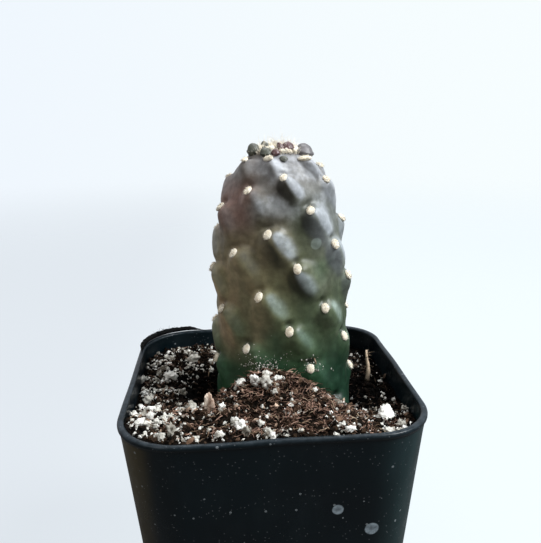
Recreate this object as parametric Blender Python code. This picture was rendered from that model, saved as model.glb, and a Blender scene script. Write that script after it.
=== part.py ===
"""A short, thick-stemmed paddle cactus growing in a square plastic nursery pot.

Frame: metres, +Z up, origin at the centre of the pot's underside, -Y is the front.
Heights called "above the rim" are measured from the top of the pot.
Sizes in the code are millimetres and are turned into metres where meshes are made.
"""

import math
import random

import bmesh
import bpy
import numpy as np
from mathutils import Matrix, Vector
from mathutils.bvhtree import BVHTree

MM = 0.001
GAP = 0.35  # clearance that touching pieces keep

# Pot
POT_WIDTH = 85.0
POT_HEIGHT = 82.0
POT_DRAFT = 0.0976  # how far each wall leans in per unit of depth
CORNER_SHARE = 0.4  # corner radius as a share of the half width
WALL = 1.0
RIM_WIDTH = 1.6
RIM_DEPTH = 1.5
LIP = 0.3  # how far the rim stands out from the wall
FOOT_WIDTH = 3.2
FOOT_HEIGHT = 1.8
FLOOR = 1.2
HOLE_RADIUS = 4.4
HOLE_OFFSET = 20.0
CORNER_STEPS = 8
SIDE_STEPS = 3

# Stem: half width of its smooth core, before the tubercles stand out from it
STEM_TOP = 69.2
STEM_BOTTOM = -34.0
STEM_HALF_WIDTH = 20.2
STEM_TAPER = 0.05
STEM_DEPTH_SHARE = 0.78  # the stem is a little flatter from front to back
STEM_PLACE = (5.2, 0.0)
STEM_LEAN = (-0.0207, -0.027)  # sideways travel per unit of height
DOME_START = 20.0
BASE_START = -14.0
STEM_COLUMNS = 56
STEM_ROWS = 46

# Spiral of areoles: each next one is this far round and this far down
TURN_START = 1.6
TURN_STEP = 260.68
TURN_DRIFT = -0.0029
RISE_START = 61.7
RISE_STEP = 1.294
RISE_GROWTH = 0.0063
FIRST_TUBERCLE, LAST_TUBERCLE = -10, 55
WOOLLY = [-7, -4] + list(range(-3, 41))  # those that may show a pad of wool
CLEAR_OF_MIX = 6.0  # a pad is only made this far above the mix beside it
# Growth is never quite regular: areole number -> (extra turn in degrees, extra rise)
WANDER = {
    -7: (6, -4.6), -4: (6, -1.2), -3: (0, -0.2), 0: (1.2, -0.6), 3: (0, 2.0), 4: (0, 1.4), 8: (0, 1.8),
    11: (-2.6, -0.3), 15: (3.0, 0), 18: (-3.3, 0.6), 22: (2.7, -1.2), 25: (-2.1, -0.9),
    29: (2.9, 0), 33: (4.4, 1.0), 36: (-3.7, 0), 37: (0, 1.8),
}
TUBERCLE_HEIGHT = 2.5
AREOLE_SIZE = (1.1, 1.5, 0.7)  # half width, half height, half thickness

# Crown: dark conical leaves round the growing tip, as (turn, distance out, radius, length)
CROWN_LEAVES = (
    (-74, 6.4, 1.9, 3.1), (-29, 6.6, 1.4, 2.2), (-6, 6.6, 1.0, 1.9),
    (8, 9.2, 0.9, 1.5), (38, 4.6, 1.6, 3.0), (80, 7.6, 2.2, 3.0),
)

# Larger perlite grains lying on the mix, as (x, y, half size)
PERLITE = ((-27.5, -35.4, 1.9), (-3.5, -24.0, 2.4), (-31.0, 11.0, 1.8), (32.0, -23.0, 2.1))


def smoothstep(value):
    t = np.clip(value, 0.0, 1.0)
    return t * t * (3.0 - 2.0 * t)


def material(name, colour, roughness):
    made = bpy.data.materials.new(name)
    made.use_nodes = True
    shader = made.node_tree.nodes["Principled BSDF"]
    shader.inputs["Base Color"].default_value = (*colour, 1.0)
    shader.inputs["Roughness"].default_value = roughness
    return made


def add_object(name, points, faces, finish, smooth=True):
    """One closed mesh object, from points in millimetres."""
    mesh = bpy.data.meshes.new(name)
    mesh.from_pydata([tuple(float(c) * MM for c in p) for p in points], [], faces)
    tidy = bmesh.new()
    tidy.from_mesh(mesh)
    bmesh.ops.recalc_face_normals(tidy, faces=tidy.faces)
    tidy.to_mesh(mesh)
    tidy.free()
    mesh.materials.append(finish)
    if smooth:
        mesh.shade_smooth()
        mesh.set_sharp_from_angle(angle=math.radians(50))
    made = bpy.data.objects.new(name, mesh)
    bpy.context.scene.collection.objects.link(made)
    return made


def settle(points, toward, ground, start=6.0):
    """Slides a small piece toward the ground surface until it is a gap short of touching."""
    toward = toward.normalized()
    points = [p - toward * start for p in points]
    travel = 0.0
    while travel < 3.0 * start:
        nearest = min(ground.find_nearest(p)[3] for p in points)
        if nearest < GAP + 0.04:
            break
        step = max(0.5 * (nearest - GAP), 0.03)
        points = [p + toward * step for p in points]
        travel += step
    return points


def surface_tree(piece):
    """Search tree of a piece's surface, in millimetres."""
    corners = [v.co / MM for v in piece.data.vertices]
    return BVHTree.FromPolygons(corners, [tuple(f.vertices) for f in piece.data.polygons])


def ring_faces(rows, columns):
    """Quads between successive closed rings of the same number of points."""
    faces = []
    for row in range(rows - 1):
        for column in range(columns):
            after = (column + 1) % columns
            lower, upper = row * columns, (row + 1) * columns
            faces.append((lower + column, lower + after, upper + after, upper + column))
    return faces


def cap_fan(centre, ring_start, columns):
    return [(centre, ring_start + c, ring_start + (c + 1) % columns) for c in range(columns)]


def subtract(body, cutter):
    """Cuts the cutter from the body. The cutter stays as a hidden helper."""
    cut = body.modifiers.new("cut_" + cutter.name, "BOOLEAN")
    cut.operation = "DIFFERENCE"
    cut.solver = "EXACT"
    cut.object = cutter
    cutter.hide_render = True
    cutter.display_type = "WIRE"


# ---- Pot -------------------------------------------------------------------------------


def rounded_square(half):
    """Points round a square with rounded corners, anticlockwise from above."""
    radius = half * CORNER_SHARE
    flat = half - radius
    points = []
    for quarter in range(4):
        start = math.radians(90 * quarter)
        corner = Vector((flat, flat, 0))
        corner.rotate(Matrix.Rotation(start, 3, "Z"))
        for step in range(CORNER_STEPS + 1):
            angle = start + math.radians(90 * step / CORNER_STEPS)
            points.append((corner.x + radius * math.cos(angle), corner.y + radius * math.sin(angle)))
        along = Vector((-1, 0, 0))
        along.rotate(Matrix.Rotation(start, 3, "Z"))
        last = Vector((*points[-1], 0))
        for step in range(1, SIDE_STEPS):
            place = last + along * (2 * flat * step / SIDE_STEPS)
            points.append((place.x, place.y))
    return points


def wall_half(height):
    """Half width of the wall's outer face at a height above the underside."""
    return POT_WIDTH / 2 - LIP - POT_DRAFT * (POT_HEIGHT - height)


def inner_half(height):
    rim_inside = POT_WIDTH / 2 - RIM_WIDTH
    return min(wall_half(height) - WALL, rim_inside)


def make_pot(plastic):
    """A thin shell: foot ring, raised floor, leaning walls and a small flat-topped rim."""
    top, rim_low = POT_HEIGHT, POT_HEIGHT - RIM_DEPTH
    outer = POT_WIDTH / 2
    floor_low, floor_high = FOOT_HEIGHT, FOOT_HEIGHT + FLOOR
    profile = [
        (wall_half(0) - FOOT_WIDTH, floor_low),
        (wall_half(0) - FOOT_WIDTH, 0.0),
        (wall_half(0) - 0.5, 0.0),
        (wall_half(0.6), 0.6),
        (wall_half(rim_low), rim_low),
        (outer - 0.08, rim_low + 0.25),
        (outer, rim_low + 0.7),
        (outer, top - 0.45),
        (outer - 0.35, top),
        (outer - RIM_WIDTH + 0.3, top),
        (inner_half(top), top - 0.4),
        (inner_half(rim_low - 2.0), rim_low - 2.0),
        (inner_half(floor_high + 1.2), floor_high + 1.2),
        (inner_half(floor_high) - 1.0, floor_high),
    ]
    points, columns = [], None
    for half, height in profile:
        loop = rounded_square(half)
        columns = len(loop)
        points += [(x, y, height) for x, y in loop]
    faces = ring_faces(len(profile), columns)
    points += [(0, 0, floor_low), (0, 0, floor_high)]
    faces += cap_fan(len(points) - 2, 0, columns)
    faces += cap_fan(len(points) - 1, (len(profile) - 1) * columns, columns)
    pot = add_object("pot", points, faces, plastic)
    places = [(0, 0)]
    places += [(x * HOLE_OFFSET, y * HOLE_OFFSET) for x in (-1, 1) for y in (-1, 1)]
    for number, (x, y) in enumerate(places):
        bpy.ops.mesh.primitive_cylinder_add(
            vertices=20, radius=HOLE_RADIUS * MM, depth=10 * MM,
            location=(x * MM, y * MM, (floor_low + FLOOR / 2) * MM),
        )
        hole = bpy.context.object
        hole.name = f"drain_hole_{number}"
        subtract(pot, hole)
    return pot


# ---- Stem ------------------------------------------------------------------------------


def core_half_width(height):
    """Half width of the stem's core at a height above the rim: a column with a domed top."""
    width = STEM_HALF_WIDTH - STEM_TAPER * height
    up = np.clip((height - DOME_START) / (STEM_TOP - DOME_START), 0.0, 1.0)
    down = np.clip((BASE_START - height) / (BASE_START - STEM_BOTTOM), 0.0, 1.0)
    return width * (1.0 - up**4.2) ** 0.42 * np.sqrt(1.0 - down**2.5)


def spiral(number):
    """(turn in radians, height above the rim) of one areole. Turn 0 faces the front."""
    extra_turn, extra_rise = WANDER.get(number, (0, 0))
    turn = TURN_START + TURN_STEP * number + TURN_DRIFT * number**2 + extra_turn
    height = RISE_START - RISE_STEP * number - RISE_GROWTH * number**2 + extra_rise
    return math.remainder(math.radians(turn), 2 * math.pi), height


def relief(turn, height):
    """How far the tubercles stand out from the core. Each has a short steep face that holds
    its areole, a nose just below it, and a long tail running down to the right."""
    total = np.zeros(np.broadcast(turn, height).shape)
    for number in range(FIRST_TUBERCLE, LAST_TUBERCLE + 1):
        at_turn, at_height = spiral(number)
        if at_height > STEM_TOP - 1.0:
            continue
        scale = float(np.clip(core_half_width(at_height) / 17.0, 0.45, 1.0))
        round_by = np.remainder(turn - at_turn + np.pi, 2 * np.pi) - np.pi
        across = round_by * np.maximum(core_half_width(height), 6.0) * 0.92 / scale
        up = (height - at_height) / scale
        along = 0.58 * across - 0.815 * up
        aside = 0.815 * across + 0.58 * up
        face = smoothstep((along + 3.0 - aside**2 / 12.0) / 4.6)
        tail = 1.0 - 0.6 * smoothstep((along - 1.6) / 7.5) - 0.4 * smoothstep((along - 8.0) / 3.0)
        nose = TUBERCLE_HEIGHT * scale * face * tail * np.exp(-((aside / 4.1) ** 2))
        pit = 0.5 * scale * np.exp(-((across / 1.2) ** 2) - (up / 1.6) ** 2)
        total += nose - pit
    fade = smoothstep((height - STEM_BOTTOM) / 22.0) * smoothstep((STEM_TOP - height) / 6.0)
    return total * fade


def stem_surface(turn, height, outward=0.0):
    """Points of the stem's skin, outward millimetres above it."""
    out = core_half_width(height) + relief(turn, height) + outward
    out_back = STEM_DEPTH_SHARE * core_half_width(height) + relief(turn, height) + outward
    x = STEM_PLACE[0] + STEM_LEAN[0] * height + out * np.sin(turn)
    y = STEM_PLACE[1] + STEM_LEAN[1] * height - out_back * np.cos(turn)
    return np.stack([x, y, np.broadcast_to(height + POT_HEIGHT, x.shape)], axis=-1)


def stem_rows():
    """Row heights, closer together where the ends round over."""
    share = np.linspace(0.0, 1.0, STEM_ROWS + 2)[1:-1]
    eased = 0.5 - 0.5 * np.cos(np.pi * share)
    mixed = 0.55 * share + 0.45 * eased
    return STEM_BOTTOM + (STEM_TOP - STEM_BOTTOM) * mixed


def stem_solid(name, finish, outward=0.0):
    turns = np.linspace(-np.pi, np.pi, STEM_COLUMNS, endpoint=False)
    heights = stem_rows()
    grid = stem_surface(turns[None, :], heights[:, None], outward)
    points = [tuple(p) for p in grid.reshape(-1, 3)]
    ends = []
    for height, beyond in ((STEM_BOTTOM, -outward), (STEM_TOP, outward)):
        x = STEM_PLACE[0] + STEM_LEAN[0] * height
        y = STEM_PLACE[1] + STEM_LEAN[1] * height
        ends.append((x, y, height + POT_HEIGHT + beyond))
    points += ends
    faces = ring_faces(len(heights), STEM_COLUMNS)
    faces += cap_fan(len(points) - 2, 0, STEM_COLUMNS)
    faces += cap_fan(len(points) - 1, (len(heights) - 1) * STEM_COLUMNS, STEM_COLUMNS)
    return add_object(name, points, faces, finish)


def skin_frame(turn, height):
    """Point on the skin with its outward normal, and the two directions along the skin."""
    step = 0.35
    reach = max(float(core_half_width(height)), 4.0)
    here = stem_surface(np.array(turn), np.array(height))
    right = stem_surface(np.array(turn + step / reach), np.array(height))
    right = Vector(right - stem_surface(np.array(turn - step / reach), np.array(height)))
    up = stem_surface(np.array(turn), np.array(height + step))
    up = Vector(up - stem_surface(np.array(turn), np.array(height - step)))
    normal = right.cross(up).normalized()
    up = normal.cross(right).normalized()
    return Vector(here), right.normalized(), up, normal


def ellipsoid(columns, rows):
    """Unit sphere as rings, with its two poles last."""
    points = []
    for row in range(1, rows):
        slope = math.pi * row / rows
        for column in range(columns):
            turn = 2 * math.pi * column / columns
            points.append(Vector((
                math.sin(slope) * math.cos(turn), math.sin(slope) * math.sin(turn), -math.cos(slope),
            )))
    points += [Vector((0, 0, -1)), Vector((0, 0, 1))]
    faces = ring_faces(rows - 1, columns)
    faces += cap_fan(len(points) - 2, 0, columns)
    faces += cap_fan(len(points) - 1, (rows - 2) * columns, columns)
    return points, faces


def make_areole(number, name, wool, ground):
    """A small woolly pad that sits in the pit on the upper face of its tubercle."""
    turn, height = spiral(number)
    scale = float(np.clip(core_half_width(height) / 16.0, 0.7, 1.0))
    wide, tall, thick = (size * scale for size in AREOLE_SIZE)
    place, right, up, normal = skin_frame(turn, height)
    shape, faces = ellipsoid(8, 5)
    points = [place + right * (p.x * wide) + up * (p.y * tall) + normal * (p.z * thick) for p in shape]
    return add_object(name, settle(points, -normal, ground), faces, wool)


def crown_centre():
    x, y = (STEM_PLACE[n] + STEM_LEAN[n] * STEM_TOP for n in (0, 1))
    return Vector((x, y, POT_HEIGHT + STEM_TOP))


def make_crown_leaf(name, turn, out, radius, length, flesh, ground):
    """A blunt conical leaf standing on the crown and leaning a little outward."""
    angle = math.radians(turn)
    outward = Vector((math.sin(angle), -math.cos(angle), 0))
    foot = crown_centre() + Vector((out * outward.x, out * 0.85 * outward.y, 0))
    axis = (Vector((0, 0, 1)) + outward * 0.25).normalized()
    across = axis.orthogonal().normalized()
    beside = axis.cross(across)
    profile = ((0.8, 0.0), (1.0, 0.25), (0.95, 0.55), (0.62, 0.85))
    columns, points = 8, []
    for wide, along in profile:
        for column in range(columns):
            side = 2 * math.pi * column / columns
            spread = across * math.cos(side) + beside * math.sin(side)
            points.append(foot + spread * (wide * radius) + axis * (along * length))
    points += [foot, foot + axis * length]
    faces = ring_faces(len(profile), columns)
    faces += cap_fan(len(points) - 2, 0, columns)
    faces += cap_fan(len(points) - 1, (len(profile) - 1) * columns, columns)
    return add_object(name, settle(points, -axis, ground), faces, flesh)


def make_crown_wool(wool, ground):
    """The low tuft of wool in the middle of the crown."""
    shape, faces = ellipsoid(12, 6)
    points = [crown_centre() + Vector((p.x * 3.0, p.y * 2.4, p.z * 1.5)) for p in shape]
    return add_object("crown_wool", settle(points, Vector((0, 0, -1)), ground), faces, wool)


# ---- Potting mix and what lies on it ---------------------------------------------------


def mix_height(x, y):
    """Height of the mix above the rim: level with it in front, heaped against the stem,
    sunk at the right and back, with a deep hollow beside the stem on either side."""
    front = smoothstep((-y - 6.0) / 26.0)
    right = smoothstep((x - 17.0) / 15.0)
    level = -6.0 + 5.0 * front * (1.0 - 0.5 * right) - 2.0 * right
    heap = 11.2 * np.exp(-((np.abs(x + 0.5) / 14.5) ** 2.6) - ((y + 19.0) / 9.5) ** 2)
    hollow = 8.0 * np.exp(-(((x + 19.5) / 6.5) ** 2) - ((y - 4.0) / 11.0) ** 2)
    dip = 7.0 * np.exp(-(((x - 26.5) / 5.0) ** 2) - ((y + 2.0) / 12.0) ** 2)
    return level + heap - hollow - dip


def make_mix(peat, stem_cutter):
    shares = [0.07 + 0.93 * n / 13 for n in range(14)]
    loop = np.array(rounded_square(1.0))
    columns = len(loop)
    half_top = inner_half(POT_HEIGHT - 3.0) - GAP
    rows = []
    for share in shares:
        flat = loop * (half_top * share)
        height = mix_height(flat[:, 0], flat[:, 1]) + POT_HEIGHT
        # The outer ring follows the leaning wall down to its own height.
        reach = np.array([inner_half(h) - GAP for h in height]) * share
        rows.append(np.column_stack([loop * reach[:, None], height]))
    floor_high = FOOT_HEIGHT + FLOOR + GAP
    for lift, inset in ((1.4, 0.0), (0.0, 1.6)):
        half = inner_half(floor_high + lift) - GAP - inset
        rows.append(np.column_stack([loop * half, np.full(columns, floor_high + lift)]))
    points = [tuple(p) for p in np.concatenate(rows)]
    points += [(0, 0, float(mix_height(0.0, 0.0)) + POT_HEIGHT), (0, 0, floor_high)]
    faces = ring_faces(len(rows), columns)
    faces += cap_fan(len(points) - 2, 0, columns)
    faces += cap_fan(len(points) - 1, (len(rows) - 1) * columns, columns)
    mix = add_object("potting_mix", points, faces, peat)
    subtract(mix, stem_cutter)
    return mix


def make_grain(name, x, y, size, finish, chance, ground):
    """A rough rounded lump lying on the mix."""
    lump = bmesh.new()
    bmesh.ops.create_icosphere(lump, subdivisions=2, radius=size)
    stretch = [chance.uniform(0.8, 1.15) for _ in range(3)]
    place = Vector((x, y, POT_HEIGHT + float(mix_height(x, y))))
    points = []
    for vertex in lump.verts:
        rough = vertex.co * chance.uniform(0.86, 1.06)
        points.append(place + Vector([c * s for c, s in zip(rough, stretch)]))
    faces = [tuple(v.index for v in face.verts) for face in lump.faces]
    lump.free()
    return add_object(name, settle(points, Vector((0, 0, -1)), ground), faces, finish)


def make_rim_scrap(bark):
    """A dark dry strip lying along the rim's back left corner."""
    half, radius = POT_WIDTH / 2 - RIM_WIDTH / 2, POT_WIDTH / 2 * CORNER_SHARE
    centre = (-half + radius, half - radius)
    reach, rows, points = radius, 12, []
    for row in range(rows + 1):
        share = row / rows
        angle = math.radians(188 - 112 * share)
        out = reach + 0.3 * (1 - share) ** 3
        swell = math.sin(math.pi * (0.06 + 0.88 * share)) ** 0.8
        wide, tall = 0.5 + 0.8 * swell, 0.25 + 1.5 * swell
        base = POT_HEIGHT + GAP
        for side, rise in ((-1, 0), (1, 0), (0.75, 0.8), (0, 1), (-0.75, 0.7)):
            far = out + side * wide
            points.append((
                centre[0] + far * math.cos(angle), centre[1] + far * math.sin(angle), base + rise * tall,
            ))
    faces = ring_faces(rows + 1, 5)
    faces += [tuple(range(5)), tuple(rows * 5 + n for n in range(5))]
    return add_object("rim_scrap", points, faces, bark)


def make_bark_chip(bark, ground):
    """A pale chip of bark standing on the mix in front of the stem."""
    x, y, lean = -18.2, -25.5, Vector((0.3, 0.45, 1.0)).normalized()
    foot = Vector((x, y, POT_HEIGHT + float(mix_height(x, y))))
    side = Vector((1, 0.2, -0.25)).normalized()
    face = lean.cross(side)
    points = []
    for along, wide, thick in ((0, 1.2, 0.5), (1.7, 1.8, 0.7), (3.6, 1.6, 0.6), (5.2, 0.8, 0.3)):
        for a, b in ((-1, -0.6), (0.2, -1), (1, -0.3), (0.8, 0.8), (-0.4, 1)):
            points.append(foot + lean * along + side * (a * wide) + face * (b * thick))
    faces = ring_faces(4, 5)
    faces += [tuple(range(5)), tuple(15 + n for n in range(5))]
    points = settle(points, Vector((0, 0, -1)), ground)
    return add_object("bark_chip", points, faces, bark, smooth=False)


def above_mix(number):
    """Whether this areole is clear of the mix beside it."""
    turn, height = spiral(number)
    x, y, _ = stem_surface(np.array(turn), np.array(height), 1.5)
    return height > float(mix_height(x, y)) + CLEAR_OF_MIX


def main():
    for old in list(bpy.data.objects):
        bpy.data.objects.remove(old)
    plastic = material("pot_plastic", (0.012, 0.016, 0.02), 0.32)
    skin = material("stem_skin", (0.09, 0.12, 0.1), 0.42)
    wool = material("areole_wool", (0.82, 0.74, 0.6), 0.9)
    flesh = material("crown_leaf_flesh", (0.08, 0.045, 0.045), 0.45)
    peat = material("peat_mix", (0.035, 0.022, 0.015), 0.95)
    white = material("perlite_grain", (0.85, 0.84, 0.8), 0.9)
    bark = material("dark_bark", (0.02, 0.018, 0.017), 0.7)
    pale_bark = material("pale_bark", (0.6, 0.45, 0.32), 0.85)

    make_pot(plastic)
    on_stem = surface_tree(stem_solid("stem", skin))
    on_mix = surface_tree(make_mix(peat, stem_solid("stem_clearance", skin, outward=GAP + 0.1)))
    shown = [n for n in WOOLLY if above_mix(n)]
    for count, number in enumerate(shown, start=1):
        make_areole(number, f"areole_{count:02d}", wool, on_stem)
    for count, leaf in enumerate(CROWN_LEAVES, start=1):
        make_crown_leaf(f"crown_leaf_{count:02d}", *leaf, flesh, on_stem)
    make_crown_wool(wool, on_stem)
    chance = random.Random(7)
    for count, (x, y, size) in enumerate(PERLITE, start=1):
        make_grain(f"perlite_{count:02d}", x, y, size, white, chance, on_mix)
    make_rim_scrap(bark)
    make_bark_chip(pale_bark, on_mix)


main()
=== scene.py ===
"""Looks of the potted paddle cactus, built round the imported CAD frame.

Lengths in this file are millimetres unless a name says otherwise; they are turned into
metres where meshes are made. Heights "above the rim" are measured from the pot's top.
"""

import math

import bmesh
import bpy
import numpy as np
from mathutils import Matrix, Vector, noise


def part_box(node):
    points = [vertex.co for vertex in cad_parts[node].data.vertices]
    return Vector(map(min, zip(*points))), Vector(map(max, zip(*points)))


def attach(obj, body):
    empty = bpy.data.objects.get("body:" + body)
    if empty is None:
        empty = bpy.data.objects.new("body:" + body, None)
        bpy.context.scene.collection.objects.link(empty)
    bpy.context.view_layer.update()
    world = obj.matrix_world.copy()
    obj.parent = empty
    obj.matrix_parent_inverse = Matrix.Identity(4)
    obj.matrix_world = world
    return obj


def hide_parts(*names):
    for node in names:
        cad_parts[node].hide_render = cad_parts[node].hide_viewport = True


MM = 0.001
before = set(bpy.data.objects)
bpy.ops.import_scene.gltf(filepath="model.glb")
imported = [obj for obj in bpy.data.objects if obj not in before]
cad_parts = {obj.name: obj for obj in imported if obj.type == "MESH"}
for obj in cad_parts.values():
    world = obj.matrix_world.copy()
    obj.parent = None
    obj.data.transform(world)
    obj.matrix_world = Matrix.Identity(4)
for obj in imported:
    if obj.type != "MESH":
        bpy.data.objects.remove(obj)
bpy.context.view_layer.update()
pot_low, pot_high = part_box("pot")
POT_HEIGHT = (pot_high.z - pot_low.z) / MM
POT_WIDTH = (pot_high.x - pot_low.x) / MM

# ---- Small tools -----------------------------------------------------------------------


def smoothstep(value):
    t = np.clip(value, 0.0, 1.0)
    return t * t * (3.0 - 2.0 * t)


def add_object(name, data):
    made = bpy.data.objects.new(name, data)
    bpy.context.scene.collection.objects.link(made)
    return made


def new_piece(name, points, faces, material, replaces=(), smooth=True, masks=None):
    """A mesh piece from points in millimetres. masks are numbers that its material reads."""
    mesh = bpy.data.meshes.new(name)
    points = np.asarray(points, float) * MM
    loops, starts = [], []
    count = 0
    for block in faces:
        block = np.asarray(block, int)
        loops.append(block.ravel())
        starts.append(count + np.arange(len(block)) * block.shape[1])
        count += block.size
    loops, starts = np.concatenate(loops), np.concatenate(starts)
    mesh.vertices.add(len(points))
    mesh.vertices.foreach_set("co", points.ravel())
    mesh.loops.add(len(loops))
    mesh.loops.foreach_set("vertex_index", loops)
    mesh.polygons.add(len(starts))
    mesh.polygons.foreach_set("loop_start", starts)
    mesh.update(calc_edges=True)
    mesh.validate()
    mesh.polygons.foreach_set("use_smooth", [smooth] * len(mesh.polygons))
    for mask, values in (masks or {}).items():
        layer = mesh.attributes.new(mask, "FLOAT", "POINT")
        layer.data.foreach_set("value", np.asarray(values, float).ravel())
    mesh.materials.append(material)
    piece = add_object(name, mesh)
    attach(piece, "root")
    if replaces:
        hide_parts(*replaces)
    return piece


def ring_faces(rows, columns, flip=False):
    """Quads between successive closed rings of the same number of points."""
    row, column = np.meshgrid(np.arange(rows - 1), np.arange(columns), indexing="ij")
    after = (column + 1) % columns
    quads = [row * columns + column, row * columns + after]
    quads += [(row + 1) * columns + after, (row + 1) * columns + column]
    quads = np.stack(quads, axis=-1).reshape(-1, 4)
    return quads[:, ::-1] if flip else quads


def fan(centre, start, columns, flip=False):
    column = np.arange(columns)
    ends = (start + column, start + (column + 1) % columns)
    return np.stack([np.full(columns, centre), *(ends[::-1] if flip else ends)], axis=-1)


def capped(rings, ends, flip=False):
    """Points, triangles and quads of a skin through rings, with a point closing each end."""
    rows, columns = len(rings), len(rings[0])
    last = rows * columns
    points = np.concatenate([np.reshape(rings, (last, 3)), np.reshape(ends, (2, 3))])
    tris = np.concatenate([fan(last, 0, columns, not flip), fan(last + 1, last - columns, columns, flip)])
    return points, tris, ring_faces(rows, columns, flip)


class Heap:
    """Gathers many small shapes into one mesh."""

    def __init__(self):
        self.points, self.tris, self.quads, self.shade, self.count = [], [], [], [], 0

    def add(self, points, tris=None, quads=None, shade=0.5):
        points = np.asarray(points, float)
        self.points.append(points)
        self.shade.append(np.full(len(points), shade))
        if tris is not None:
            self.tris.append(np.asarray(tris, int) + self.count)
        if quads is not None:
            self.quads.append(np.asarray(quads, int) + self.count)
        self.count += len(points)

    def piece(self, name, material, slot, replaces=(), smooth=True):
        blocks = tuple(np.concatenate(b) for b in (self.quads, self.tris) if b)
        return new_piece(name, np.concatenate(self.points), blocks, material, replaces,
                         smooth, {"shade": np.concatenate(self.shade)})


def turned(rng):
    """A random rotation as a 3 by 3 array."""
    a, b, c = rng.random(3)
    w, x = math.sqrt(1 - a) * math.sin(2 * math.pi * b), math.sqrt(1 - a) * math.cos(2 * math.pi * b)
    y, z = math.sqrt(a) * math.sin(2 * math.pi * c), math.sqrt(a) * math.cos(2 * math.pi * c)
    return np.array([
        [1 - 2 * (y * y + z * z), 2 * (x * y - z * w), 2 * (x * z + y * w)],
        [2 * (x * y + z * w), 1 - 2 * (x * x + z * z), 2 * (y * z - x * w)],
        [2 * (x * z - y * w), 2 * (y * z + x * w), 1 - 2 * (x * x + y * y)],
    ])


def icosphere(level):
    ball = bmesh.new()
    bmesh.ops.create_icosphere(ball, subdivisions=level, radius=1.0)
    points = np.array([v.co[:] for v in ball.verts])
    tris = np.array([[v.index for v in f.verts] for f in ball.faces])
    ball.free()
    return points, tris


def lumps(kinds, level, rough, scale, stretch, seed):
    """Several rough unit lumps of one kind of grain."""
    base, tris = icosphere(level)
    rng = np.random.default_rng(seed)
    made = []
    for _ in range(kinds):
        offset = rng.random(3) * 50
        bump = np.array([noise.noise(Vector(p * scale + offset)) for p in base])
        fine = np.array([noise.noise(Vector(p * scale * 2.7 + offset)) for p in base])
        shape = base * (1 + rough * bump + 0.45 * rough * fine)[:, None]
        made.append((shape * rng.uniform(1 - stretch, 1 + stretch, 3), tris))
    return made


def tube(path, radii, sides=3, turn=0.0):
    """Points and quads of a thin closed strand along a path."""
    path = np.asarray(path, float)
    along = np.gradient(path, axis=0)
    along /= np.linalg.norm(along, axis=1)[:, None] + 1e-9
    helper = np.where(np.abs(along[:, 2:3]) > 0.9, [[1.0, 0, 0]], [[0, 0, 1.0]])
    across = np.cross(along, helper)
    across /= np.linalg.norm(across, axis=1)[:, None] + 1e-9
    beside = np.cross(along, across)
    angles = turn + 2 * math.pi * np.arange(sides) / sides
    ring = np.cos(angles)[None, :, None] * across[:, None] + np.sin(angles)[None, :, None] * beside[:, None]
    return capped(path[:, None] + ring * np.asarray(radii, float)[:, None, None], [path[0], path[-1]])


# ---- Node building ---------------------------------------------------------------------


class Nodes:
    """Short calls that add nodes to a tree."""

    def __init__(self, tree):
        self.tree = tree

    def node(self, kind, **settings):
        made = self.tree.nodes.new(kind)
        for key, value in settings.items():
            setattr(made, key, value)
        return made

    def feed(self, socket, value):
        if isinstance(value, bpy.types.NodeSocket):
            self.tree.links.new(value, socket)
        elif isinstance(value, tuple) and len(value) == 3 and socket.type == "RGBA":
            socket.default_value = (*value, 1.0)
        else:
            socket.default_value = value

    def made(self, kind, inputs, output=0, **settings):
        """Adds a node, feeds its inputs, which are pairs of socket and value, and gives an output."""
        made = self.node(kind, **settings)
        for socket, value in inputs:
            self.feed(made.inputs[socket], value)
        return made.outputs[output]

    def span(self, value, low, high, to_low=0.0, to_high=1.0, smooth=True):
        sockets = ("Value", "From Min", "From Max", "To Min", "To Max")
        inputs = zip(sockets, (value, low, high, to_low, to_high))
        kind = "SMOOTHSTEP" if smooth else "LINEAR"
        return self.made("ShaderNodeMapRange", inputs, "Result", interpolation_type=kind)

    def mix(self, share, a, b, kind="MIX"):
        inputs = ("Factor", share), ("A", a), ("B", b)
        return self.made("ShaderNodeMix", inputs, "Result", data_type="RGBA", blend_type=kind)

    def blend(self, share, first, second):
        """Mixes two shaders."""
        return self.made("ShaderNodeMixShader", ((0, share), (1, first), (2, second)))

    def seen_by_camera(self):
        return self.node("ShaderNodeLightPath").outputs["Is Camera Ray"]


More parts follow.
